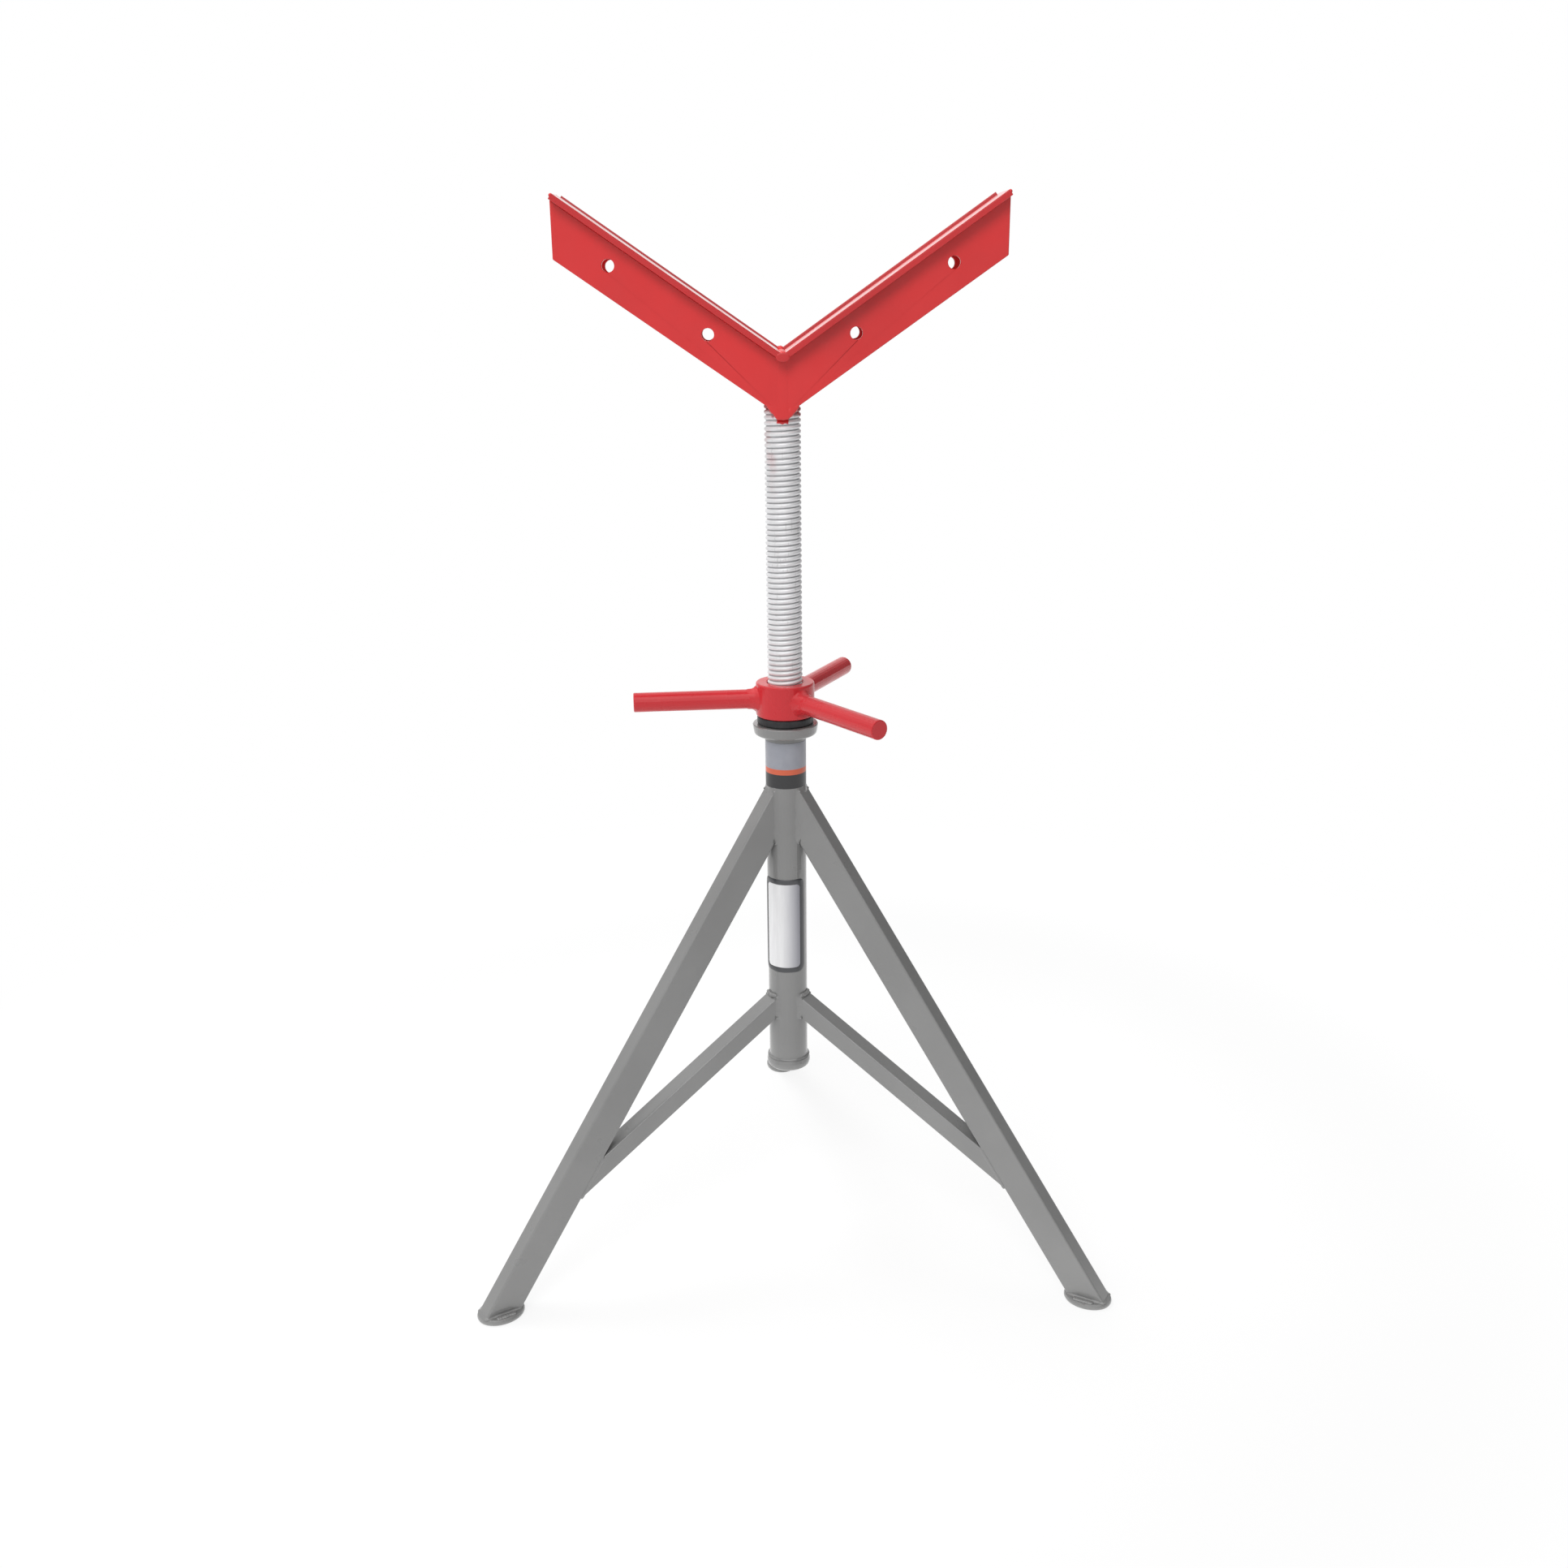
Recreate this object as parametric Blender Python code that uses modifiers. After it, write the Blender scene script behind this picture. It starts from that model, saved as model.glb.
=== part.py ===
"""A screw jack stand that holds a pipe in a wide V.

A round column stands in a tripod of flat-sided tubes. A threaded screw slides in the column and
carries the V head: two bearing plates on two pairs of web bars, which clasp the screw's upper
end. A handled nut turns on a thrust washer above the column's collar and lifts the screw.

Metres, +Z up. The floor is at z = 0, +X runs along the V, and the third leg points along +Y.
The origin lies on the floor, below the middle of the stand's outline.
"""
import math

import bmesh
import bpy
from mathutils import Matrix, Vector

# Seams between welded pieces, and how finely round shapes are drawn
SEAM = 0.0003
CUT_OVERRUN = 0.02
MERGE_DISTANCE = 0.00001
SHARP_ANGLE = math.radians(35.0)
ROUND_STEPS = 48
HANDLE_STEPS = 24
HOLE_STEPS = 24
CORNER_STEPS = 3
ROUNDING_STEPS = 3

# Screw, measured over its crests, and the room round it in each piece that it passes through
SCREW_DIAMETER = 0.0434
SCREW_EXPOSED = 0.3192
SCREW_BELOW_NUT = 0.155
SCREW_END_CHAMFER = 0.002
NUT_CLEARANCE = 0.0003
WASHER_CLEARANCE = 0.0009
COLLAR_CLEARANCE = 0.0011
COLUMN_CLEARANCE = 0.0007

# Column with its closed lower end and the collar that caps its top
COLUMN_WALL = 0.003
COLUMN_LENGTH = 0.467
COLUMN_EDGE = 0.0006
CAP_HEIGHT_ABOVE_FLOOR = 0.2333
CAP_FLOOR = 0.006
CAP_SKIRT = 0.016
CAP_BULGE = 0.0033
CAP_ROUNDING = 0.007
CAP_RIM_SHARE = 0.33
CAP_FLARE_SHARE = 0.67
COLLAR_RIM = 0.0156
COLLAR_SOCKET_DEPTH = 0.0095
COLLAR_LIP = 0.0045
COLLAR_TOP_EDGE = 0.001
COLLAR_LOWER_ROUNDING = 0.0045
COLLAR_TAPER = 0.0012

# Thrust washer and the handled nut
WASHER_RIM = 0.0126
WASHER_HEIGHT = 0.010
WASHER_ROUNDING = 0.0018
HUB_WALL = 0.0145
HUB_HEIGHT = 0.042
HUB_ROUNDING = 0.0022
HUB_BORE_CHAMFER = 0.0018
HANDLE_DIAMETER = 0.024
HANDLE_LENGTH = 0.1518
HANDLE_EDGE = 0.0012
HANDLE_TURN = math.radians(3.6)

# V head: bearing plates on web bars, with bolt holes placed by shares of the bars
ARM_ANGLE = math.radians(34.2)
ARM_LENGTH = 0.304
PLATE_WIDTH = 0.0889
PLATE_THICKNESS = 0.00635
PLATE_EDGE = 0.0007
WEB_DEPTH = 0.0508
WEB_THICKNESS = 0.00635
WEB_EDGE = 0.0006
BOLT_HOLE_DIAMETER = 0.0143
BOLT_HOLE_DEPTH_SHARE = 0.44
BOLT_HOLE_ARM_SHARES = (0.2714, 0.7072)

# Tripod: deep legs and shallower braces of one width, and oval feet
TUBE_WIDTH = 0.024
LEG_DEPTH = 0.0405
LEG_WALL = 0.002
LEG_CORNER = 0.0024
LEG_ANGLE = math.radians(55.13)
LEG_BELOW_COLUMN_TOP = 0.1153
BRACE_DEPTH = 0.025
BRACE_WALL = 0.002
BRACE_CORNER = 0.0018
BRACE_ABOVE_COLUMN_END = 0.0862
BRACE_HEIGHT_ON_LEG = 0.1605
BORE_CORNER_LEAST_SHARE = 0.2
FOOT_END_MARGIN = 0.0058
FOOT_SIDE_MARGIN = 0.013
FOOT_THICKNESS = 0.0075
FOOT_ROUNDING = 0.0028

# Radii, worked outwards from the screw
screw_radius = SCREW_DIAMETER / 2
nut_bore_radius = screw_radius + NUT_CLEARANCE
hub_radius = nut_bore_radius + HUB_WALL
handle_reach = hub_radius + HANDLE_LENGTH
washer_bore_radius = screw_radius + WASHER_CLEARANCE
column_bore_radius = screw_radius + COLUMN_CLEARANCE
column_radius = column_bore_radius + COLUMN_WALL
saddle_radius = column_radius + SEAM
collar_bore_radius = screw_radius + COLLAR_CLEARANCE
collar_radius = column_radius + COLLAR_RIM

# Heights, worked upwards from the floor
column_bottom = CAP_HEIGHT_ABOVE_FLOOR + CAP_FLOOR + SEAM
column_top = column_bottom + COLUMN_LENGTH
collar_bottom = column_top + SEAM - COLLAR_SOCKET_DEPTH
collar_top = column_top + SEAM + COLLAR_LIP
washer_bottom = collar_top + SEAM
hub_bottom = washer_bottom + WASHER_HEIGHT + SEAM
hub_top = hub_bottom + HUB_HEIGHT
handle_height = hub_bottom + HUB_HEIGHT / 2
screw_bottom = hub_bottom - SCREW_BELOW_NUT
head_point = hub_top + SCREW_EXPOSED
plate_rise = PLATE_THICKNESS / math.cos(ARM_ANGLE)
web_rise = WEB_DEPTH / math.cos(ARM_ANGLE)
seam_rise = SEAM / math.cos(ARM_ANGLE)
plate_crotch_underside = head_point + web_rise + seam_rise
plate_crotch_top = plate_crotch_underside + plate_rise
screw_top = plate_crotch_underside - SEAM

# Legs, by the point where each middle line meets the column's side and the foot's top
foot_top = FOOT_THICKNESS + SEAM
leg_height_on_column = column_top - LEG_BELOW_COLUMN_TOP
foot_radius = column_radius + (leg_height_on_column - foot_top) / math.tan(LEG_ANGLE)
leg_height_at_axis = foot_top + foot_radius * math.tan(LEG_ANGLE)
foot_half_length = LEG_DEPTH / 2 / math.sin(LEG_ANGLE) + FOOT_END_MARGIN
foot_half_width = TUBE_WIDTH / 2 + FOOT_SIDE_MARGIN

# Braces, by the point where each middle line meets the column's side and the leg's underside
leg_underside_offset = LEG_DEPTH / 2 / math.sin(LEG_ANGLE)
leg_run_to_brace = (BRACE_HEIGHT_ON_LEG - foot_top) / math.tan(LEG_ANGLE)
brace_outer_radius = foot_radius - leg_run_to_brace - leg_underside_offset
brace_height_on_column = column_bottom + BRACE_ABOVE_COLUMN_END
brace_fall = brace_height_on_column - BRACE_HEIGHT_ON_LEG
brace_angle = math.atan2(brace_fall, brace_outer_radius - column_radius)
brace_height_at_axis = brace_height_on_column + column_radius * math.tan(brace_angle)

LEG_LABELS = ("left", "right", "rear")
HANDLE_LABELS = ("left", "front", "rear")


def leg_heading(index):
    """Direction of a leg seen from above, counted from +X; the last leg points along +Y."""
    return math.pi / 2 + 2 * math.pi * (index + 1) / len(LEG_LABELS)


def oval_reach(heading, direction):
    """How far a radial foot's oval reaches from its centre along a direction."""
    turn = direction - heading
    return math.hypot(foot_half_length * math.cos(turn), foot_half_width * math.sin(turn))


def stand_reach(direction):
    """How far the feet reach from the column's axis along a direction."""
    headings = [leg_heading(index) for index in range(len(LEG_LABELS))]
    return max(foot_radius * math.cos(direction - h) + oval_reach(h, direction) for h in headings)


# One foot points back and two point forwards, so the outline's middle lies off the axis
axis_y = (stand_reach(-math.pi / 2) - stand_reach(math.pi / 2)) / 2


def clear_scene():
    for old in list(bpy.data.objects):
        bpy.data.objects.remove(old, do_unlink=True)


def new_collection(name):
    collection = bpy.data.collections.new(name)
    bpy.context.scene.collection.children.link(collection)
    return collection


def paint(name, colour, roughness, metallic):
    """A Principled material of one colour."""
    material = bpy.data.materials.new(name)
    material.use_nodes = True
    shader = material.node_tree.nodes["Principled BSDF"]
    shader.inputs["Base Color"].default_value = (*colour, 1.0)
    shader.inputs["Roughness"].default_value = roughness
    shader.inputs["Metallic"].default_value = metallic
    return material


def add_part(name, mesh, material, frame):
    """Put a mesh in the stand's collection, carried by the stand's empty."""
    mesh.name = name
    mesh.materials.clear()
    mesh.materials.append(material)
    mesh.shade_smooth()
    mesh.set_sharp_from_angle(angle=SHARP_ANGLE)
    part = bpy.data.objects.new(name, mesh)
    parts.objects.link(part)
    part.parent = stand
    part.matrix_basis = frame
    return part


def add_cutter(name, mesh, frame):
    cutter = bpy.data.objects.new(name, mesh)
    cutters.objects.link(cutter)
    cutter.parent = stand
    cutter.matrix_basis = frame
    cutter.hide_render = True
    cutter.display_type = "WIRE"
    return cutter


def cut(part, cutter):
    boolean = part.modifiers.new("cut by " + cutter.name, "BOOLEAN")
    boolean.operation = "DIFFERENCE"
    boolean.solver = "EXACT"
    boolean.object = cutter


def round_edges(part, width, segments):
    bevel = part.modifiers.new("edge rounding", "BEVEL")
    bevel.width = width
    bevel.segments = segments
    bevel.limit_method = "ANGLE"
    bevel.angle_limit = SHARP_ANGLE


def mesh_of(guide):
    """The evaluated shape of a guide object as one closed mesh; the guide is then removed."""
    bpy.context.scene.collection.objects.link(guide)
    graph = bpy.context.evaluated_depsgraph_get()
    mesh = bpy.data.meshes.new_from_object(guide.evaluated_get(graph))
    bpy.data.objects.remove(guide, do_unlink=True)
    work = bmesh.new()
    work.from_mesh(mesh)
    bmesh.ops.remove_doubles(work, verts=work.verts, dist=MERGE_DISTANCE)
    bmesh.ops.recalc_face_normals(work, faces=work.faces)
    work.to_mesh(mesh)
    work.free()
    return mesh


def arc(centre_r, centre_z, radius, start, end, steps=ROUNDING_STEPS):
    """Points of a round stretch in a profile, angles in degrees from the outward direction."""
    points = []
    for step in range(steps + 1):
        angle = math.radians(start + (end - start) * step / steps)
        points.append((centre_r + radius * math.cos(angle), centre_z + radius * math.sin(angle)))
    return points


def turned(profile, closed=True):
    """A profile of (radius, height) points, down its outer side, swept round the Z axis."""
    edges = [(i, i + 1) for i in range(len(profile) - 1)]
    if closed:
        edges.append((len(profile) - 1, 0))
    outline = bpy.data.meshes.new("profile")
    outline.from_pydata([(radius, 0.0, height) for radius, height in profile], edges, [])
    guide = bpy.data.objects.new("profile", outline)
    sweep = guide.modifiers.new("turning", "SCREW")
    sweep.axis = "Z"
    sweep.angle = 2 * math.pi
    sweep.steps = ROUND_STEPS
    sweep.render_steps = ROUND_STEPS
    sweep.use_merge_vertices = True
    sweep.merge_threshold = MERGE_DISTANCE
    return mesh_of(guide)


def flat_outline(outlines, thickness):
    """Closed outlines in the XY plane, filled and thickened by equal amounts along Z."""
    curve = bpy.data.curves.new("outline", "CURVE")
    curve.dimensions = "2D"
    curve.fill_mode = "BOTH"
    curve.extrude = thickness / 2
    for outline in outlines:
        spline = curve.splines.new("POLY")
        spline.points.add(len(outline) - 1)
        for point, (x, y) in zip(spline.points, outline):
            point.co = (x, y, 0.0, 1.0)
        spline.use_cyclic_u = True
    return mesh_of(bpy.data.objects.new("outline", curve))


def rounded_rectangle(width, depth, corner):
    """Outline of a rectangle with its corners as arcs, its width along X."""
    points = []
    for quarter in range(4):
        start = quarter * math.pi / 2
        middle = start + math.pi / 4
        centre_x = math.copysign(width / 2 - corner, math.cos(middle))
        centre_y = math.copysign(depth / 2 - corner, math.sin(middle))
        for step in range(CORNER_STEPS + 1):
            angle = start + math.pi / 2 * step / CORNER_STEPS
            points.append((centre_x + corner * math.cos(angle), centre_y + corner * math.sin(angle)))
    return points


def flat_sided_tube(depth, wall, corner, length):
    """A hollow tube along Z, its depth along Y; its bore's corners follow the outer ones."""
    bore_corner = max(corner - wall, corner * BORE_CORNER_LEAST_SHARE)
    outer = rounded_rectangle(TUBE_WIDTH, depth, corner)
    bore = rounded_rectangle(TUBE_WIDTH - 2 * wall, depth - 2 * wall, bore_corner)
    return flat_outline([outer, bore], length)


def ring(radius, steps, centre):
    points = []
    for step in range(steps):
        angle = 2 * math.pi * step / steps
        points.append((centre[0] + radius * math.cos(angle), centre[1] + radius * math.sin(angle)))
    return points


def cylinder(radius, length, steps):
    """A closed cylinder along Z, centred on its own middle."""
    work = bmesh.new()
    bmesh.ops.create_cone(work, cap_ends=True, segments=steps, radius1=radius, radius2=radius, depth=length)
    mesh = bpy.data.meshes.new("cylinder")
    work.to_mesh(mesh)
    work.free()
    return mesh


def block(size_x, size_y, size_z):
    """A closed box centred on its own middle."""
    work = bmesh.new()
    bmesh.ops.create_cube(work, size=1.0, matrix=Matrix.Diagonal((size_x, size_y, size_z, 1.0)))
    mesh = bpy.data.meshes.new("block")
    work.to_mesh(mesh)
    work.free()
    return mesh


def at_height(height):
    return Matrix.Translation((0.0, 0.0, height))


def sloping(heading, slope, start_height, distance):
    """A frame a distance down a sloping line that starts on the axis.

    Z runs outwards and down along the line, X is level and Y points to its upper side.
    """
    outward = Vector((math.cos(heading), math.sin(heading), 0.0))
    up = Vector((0.0, 0.0, 1.0))
    along = outward * math.cos(slope) - up * math.sin(slope)
    upper = outward * math.sin(slope) + up * math.cos(slope)
    turn = Matrix((upper.cross(along), upper, along)).transposed().to_4x4()
    return Matrix.Translation(up * start_height + along * distance) @ turn


# Column group


def build_column():
    profile = [
        (column_radius - COLUMN_EDGE, COLUMN_LENGTH),
        (column_radius, COLUMN_LENGTH - COLUMN_EDGE),
        (column_radius, COLUMN_EDGE),
        (column_radius - COLUMN_EDGE, 0.0),
        (column_bore_radius, 0.0),
        (column_bore_radius, COLUMN_LENGTH),
    ]
    add_part("column_tube", turned(profile), grey_paint, at_height(column_bottom))


def build_cap():
    """The column's closed lower end: a shallow cup with a bulging, rounded rim."""
    rim_radius = column_radius + CAP_BULGE
    rim_height = CAP_ROUNDING + (CAP_SKIRT - CAP_ROUNDING) * CAP_RIM_SHARE
    flare_height = rim_height + (CAP_SKIRT - rim_height) * CAP_FLARE_SHARE
    profile = [
        (0.0, CAP_FLOOR),
        (saddle_radius, CAP_FLOOR),
        (saddle_radius, CAP_SKIRT),
        (saddle_radius + COLUMN_EDGE, CAP_SKIRT),
        (column_radius + CAP_BULGE * CAP_FLARE_SHARE, flare_height),
        (rim_radius, rim_height),
    ]
    profile += arc(rim_radius - CAP_ROUNDING, CAP_ROUNDING, CAP_ROUNDING, 0.0, -90.0)
    profile.append((0.0, 0.0))
    add_part("bottom_cap", turned(profile, closed=False), grey_paint, at_height(CAP_HEIGHT_ABOVE_FLOOR))


def build_collar():
    """A stepped ring: its socket sits over the column's top and its lip carries the washer."""
    height = COLLAR_SOCKET_DEPTH + COLLAR_LIP
    corner_radius = collar_radius - COLLAR_TAPER - COLLAR_LOWER_ROUNDING
    profile = [(collar_radius - COLLAR_TOP_EDGE, height), (collar_radius, height - COLLAR_TOP_EDGE)]
    profile += arc(corner_radius, COLLAR_LOWER_ROUNDING, COLLAR_LOWER_ROUNDING, 0.0, -90.0)
    profile += [
        (saddle_radius, 0.0),
        (saddle_radius, COLLAR_SOCKET_DEPTH),
        (collar_bore_radius, COLLAR_SOCKET_DEPTH),
        (collar_bore_radius, height),
    ]
    add_part("top_collar", turned(profile), grey_paint, at_height(collar_bottom))


# Washer, nut and screw


def rounded_ring(outer, bore, height, rounding):
    """Profile of a ring whose outer edges are rounded, from its top face down to its bore."""
    centre = outer - rounding
    profile = arc(centre, height - rounding, rounding, 90.0, 0.0)
    profile += arc(centre, rounding, rounding, 0.0, -90.0)
    return profile + [(bore, 0.0), (bore, height)]


def build_washer():
    outer = washer_bore_radius + WASHER_RIM
    profile = rounded_ring(outer, washer_bore_radius, WASHER_HEIGHT, WASHER_ROUNDING)
    add_part("thrust_washer", turned(profile), black_steel, at_height(washer_bottom))


def build_hub():
    """The nut's round body, with a chamfer at each end of its bore."""
    mouth = nut_bore_radius + HUB_BORE_CHAMFER
    profile = rounded_ring(hub_radius, mouth, HUB_HEIGHT, HUB_ROUNDING)
    profile.insert(-1, (nut_bore_radius, HUB_BORE_CHAMFER))
    profile.insert(-1, (nut_bore_radius, HUB_HEIGHT - HUB_BORE_CHAMFER))
    add_part("nut_hub", turned(profile), red_paint, at_height(hub_bottom))


def build_handles():
    """Round bars whose inner ends are hollowed to the hub's curve."""
    hub_outline = cylinder(hub_radius + SEAM, HUB_HEIGHT + CUT_OVERRUN, ROUND_STEPS)
    hub_cutter = add_cutter("hub_cutter", hub_outline, at_height(handle_height))
    for index, label in enumerate(HANDLE_LABELS):
        heading = math.pi + HANDLE_TURN + 2 * math.pi * index / len(HANDLE_LABELS)
        bar = cylinder(HANDLE_DIAMETER / 2, handle_reach, HANDLE_STEPS)
        frame = sloping(heading, 0.0, handle_height, handle_reach / 2)
        handle = add_part("handle_" + label, bar, red_paint, frame)
        round_edges(handle, HANDLE_EDGE, 2)
        cut(handle, hub_cutter)


def build_screw():
    """The screw at the size of its crests, with chamfered ends."""
    length = screw_top - screw_bottom
    end_radius = screw_radius - SCREW_END_CHAMFER
    profile = [
        (0.0, length),
        (end_radius, length),
        (screw_radius, length - SCREW_END_CHAMFER),
        (screw_radius, SCREW_END_CHAMFER),
        (end_radius, 0.0),
        (0.0, 0.0),
    ]
    add_part("lift_screw", turned(profile, closed=False), bright_zinc, at_height(screw_bottom))


# V head


def head_frame(side, across):
    """A frame at the V's crotch: X runs out to one side, Y runs up and Z runs across the head."""
    turn = Matrix(((side, 0.0, 0.0), (0.0, 0.0, -side), (0.0, 1.0, 0.0))).to_4x4()
    return Matrix.Translation((0.0, across, plate_crotch_top)) @ turn


def arm_point(distance, depth):
    """A point of the V's outline, by its distance up the arm and its depth below the top face."""
    x = distance * math.cos(ARM_ANGLE) + depth * math.sin(ARM_ANGLE)
    y = distance * math.sin(ARM_ANGLE) - depth * math.cos(ARM_ANGLE)
    return (x, y)


def mitre_point(drop):
    """A point of the V's outline at the seam between its two arms."""
    x = SEAM / 2
    return (x, x * math.tan(ARM_ANGLE) - drop)


def build_bearing_plates():
    """Plates that meet in a mitre at the crotch and are cut square at their tips."""
    outline = [
        mitre_point(0.0),
        mitre_point(plate_rise),
        arm_point(ARM_LENGTH, PLATE_THICKNESS),
        arm_point(ARM_LENGTH, 0.0),
    ]
    for hand, side in (("left", -1.0), ("right", 1.0)):
        mesh = flat_outline([outline], PLATE_WIDTH)
        plate = add_part("bearing_plate_" + hand, mesh, red_paint, head_frame(side, 0.0))
        round_edges(plate, PLATE_EDGE, 2)


def build_web_bars():
    """Flat bars on edge, in pairs that clasp the screw, cut upright at both ends."""
    top = plate_rise + seam_rise
    tip_x = arm_point(ARM_LENGTH, PLATE_THICKNESS)[0]
    tip_rise = tip_x * math.tan(ARM_ANGLE)
    outline = [
        mitre_point(top),
        mitre_point(top + web_rise),
        (tip_x, tip_rise - top - web_rise),
        (tip_x, tip_rise - top),
    ]
    hole_depth = PLATE_THICKNESS + SEAM + WEB_DEPTH * BOLT_HOLE_DEPTH_SHARE
    holes = []
    for share in BOLT_HOLE_ARM_SHARES:
        holes.append(ring(BOLT_HOLE_DIAMETER / 2, HOLE_STEPS, arm_point(ARM_LENGTH * share, hole_depth)))
    offset = screw_radius + SEAM + WEB_THICKNESS / 2
    for face, across in (("front", -offset), ("rear", offset)):
        for hand, side in (("left", -1.0), ("right", 1.0)):
            mesh = flat_outline([outline] + holes, WEB_THICKNESS)
            web = add_part(f"web_{face}_{hand}", mesh, red_paint, head_frame(side, across))
            round_edges(web, WEB_EDGE, 1)


# Tripod


def add_saddle_cutter(label, heading):
    """The column's side seen from a leg, with all that lies behind it, to cope a tube's end."""
    half_steps = ROUND_STEPS // 2
    outline = []
    for step in range(half_steps + 1):
        angle = -math.pi / 2 + math.pi * step / half_steps
        outline.append((saddle_radius * math.cos(angle), saddle_radius * math.sin(angle)))
    behind = -(saddle_radius + LEG_DEPTH + CUT_OVERRUN)
    outline += [(behind, saddle_radius), (behind, -saddle_radius)]
    mesh = flat_outline([outline], COLUMN_LENGTH * 2)
    turn = Matrix.Rotation(heading, 4, "Z")
    return add_cutter("saddle_" + label, mesh, at_height(column_bottom + COLUMN_LENGTH / 2) @ turn)


def build_leg(label, heading, saddle):
    """A leg from the column's side down to its foot; returns the space that it takes up."""
    past_axis = LEG_DEPTH
    length = past_axis + foot_radius / math.cos(LEG_ANGLE) + LEG_DEPTH
    frame = sloping(heading, LEG_ANGLE, leg_height_at_axis, length / 2 - past_axis)
    tube = flat_sided_tube(LEG_DEPTH, LEG_WALL, LEG_CORNER, length)
    leg = add_part("leg_" + label, tube, grey_paint, frame)
    cut(leg, saddle)
    cut(leg, floor_cutter)
    envelope = block(TUBE_WIDTH + 2 * SEAM, LEG_DEPTH + 2 * SEAM, length)
    return add_cutter("leg_space_" + label, envelope, frame)


def build_brace(label, heading, saddle, leg_space):
    """A brace from the lower column out to the underside of its leg."""
    past_axis = BRACE_DEPTH
    inside_leg = LEG_DEPTH / 2 / math.cos(brace_angle)
    length = past_axis + brace_outer_radius / math.cos(brace_angle) + inside_leg
    frame = sloping(heading, brace_angle, brace_height_at_axis, length / 2 - past_axis)
    tube = flat_sided_tube(BRACE_DEPTH, BRACE_WALL, BRACE_CORNER, length)
    brace = add_part("brace_" + label, tube, grey_paint, frame)
    cut(brace, saddle)
    cut(brace, leg_space)


def build_foot(label, heading):
    """An oval pad with a rounded rim, longer along its leg than across."""
    mesh = cylinder(1.0, FOOT_THICKNESS, ROUND_STEPS)
    mesh.transform(Matrix.Diagonal((foot_half_length, foot_half_width, 1.0, 1.0)))
    turn = Matrix.Rotation(heading, 4, "Z")
    place = turn @ Matrix.Translation((foot_radius, 0.0, FOOT_THICKNESS / 2))
    foot = add_part("foot_" + label, mesh, grey_paint, place)
    round_edges(foot, FOOT_ROUNDING, 2)


def build_tripod():
    for index, label in enumerate(LEG_LABELS):
        heading = leg_heading(index)
        saddle = add_saddle_cutter(label, heading)
        leg_space = build_leg(label, heading, saddle)
        build_brace(label, heading, saddle, leg_space)
        build_foot(label, heading)


clear_scene()
parts = new_collection("pipe_jack_stand")
cutters = new_collection("pipe_jack_stand_cutters")
stand = bpy.data.objects.new("stand_axis", None)
parts.objects.link(stand)
stand.location = (0.0, axis_y, 0.0)

grey_paint = paint("grey paint", (0.27, 0.27, 0.265), 0.45, 0.0)
red_paint = paint("red paint", (0.62, 0.03, 0.035), 0.4, 0.0)
black_steel = paint("black oxide", (0.02, 0.022, 0.024), 0.5, 0.3)
bright_zinc = paint("bright zinc", (0.72, 0.72, 0.72), 0.35, 0.9)

ground_size = 2 * (foot_radius + LEG_DEPTH)
ground = block(ground_size, ground_size, ground_size)
floor_cutter = add_cutter("floor_cutter", ground, at_height(foot_top - ground_size / 2))

build_column()
build_cap()
build_collar()
build_washer()
build_hub()
build_handles()
build_screw()
build_bearing_plates()
build_web_bars()
build_tripod()
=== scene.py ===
"""Looks of a pipe jack stand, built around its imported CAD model.

Modelled here: the screw's thread, the weld beads and fillets, the trim of the bearing plates, the blank
badge and the label's plain bands of colour.
Metres, +Z up; the column's axis stands at AXIS_Y and the camera looks along +Y.
"""
import math

import bmesh
import bpy
from mathutils import Matrix, Vector, noise


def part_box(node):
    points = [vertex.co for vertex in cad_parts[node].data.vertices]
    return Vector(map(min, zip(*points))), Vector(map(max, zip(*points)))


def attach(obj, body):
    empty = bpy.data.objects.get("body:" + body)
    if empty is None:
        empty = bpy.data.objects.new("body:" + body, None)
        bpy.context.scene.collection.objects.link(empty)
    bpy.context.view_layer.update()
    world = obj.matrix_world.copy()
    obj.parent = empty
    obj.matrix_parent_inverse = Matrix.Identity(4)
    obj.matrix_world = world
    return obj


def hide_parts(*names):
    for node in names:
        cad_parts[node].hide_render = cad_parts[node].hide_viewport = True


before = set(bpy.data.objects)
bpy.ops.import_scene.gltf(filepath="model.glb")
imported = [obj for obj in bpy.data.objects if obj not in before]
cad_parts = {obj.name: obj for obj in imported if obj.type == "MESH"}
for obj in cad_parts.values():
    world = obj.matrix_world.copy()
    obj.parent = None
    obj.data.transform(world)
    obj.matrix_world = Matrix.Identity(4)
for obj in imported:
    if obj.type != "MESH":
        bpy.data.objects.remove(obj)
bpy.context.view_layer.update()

# Places read from the frame
column_low, column_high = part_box("column_tube")
AXIS_Y = (column_low.y + column_high.y) / 2
COLUMN_RADIUS = (column_high.x - column_low.x) / 2
screw_low, screw_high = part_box("lift_screw")
SCREW_RADIUS = (screw_high.x - screw_low.x) / 2
hub_low, hub_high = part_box("nut_hub")
HUB_RADIUS = (hub_high.x - hub_low.x) / 2
HANDLE_HEIGHT = (hub_low.z + hub_high.z) / 2
web_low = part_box("web_front_right")[0]
HEAD_POINT = web_low.z
WEB_FRONT = web_low.y
plate_low, plate_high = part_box("bearing_plate_right")

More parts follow.
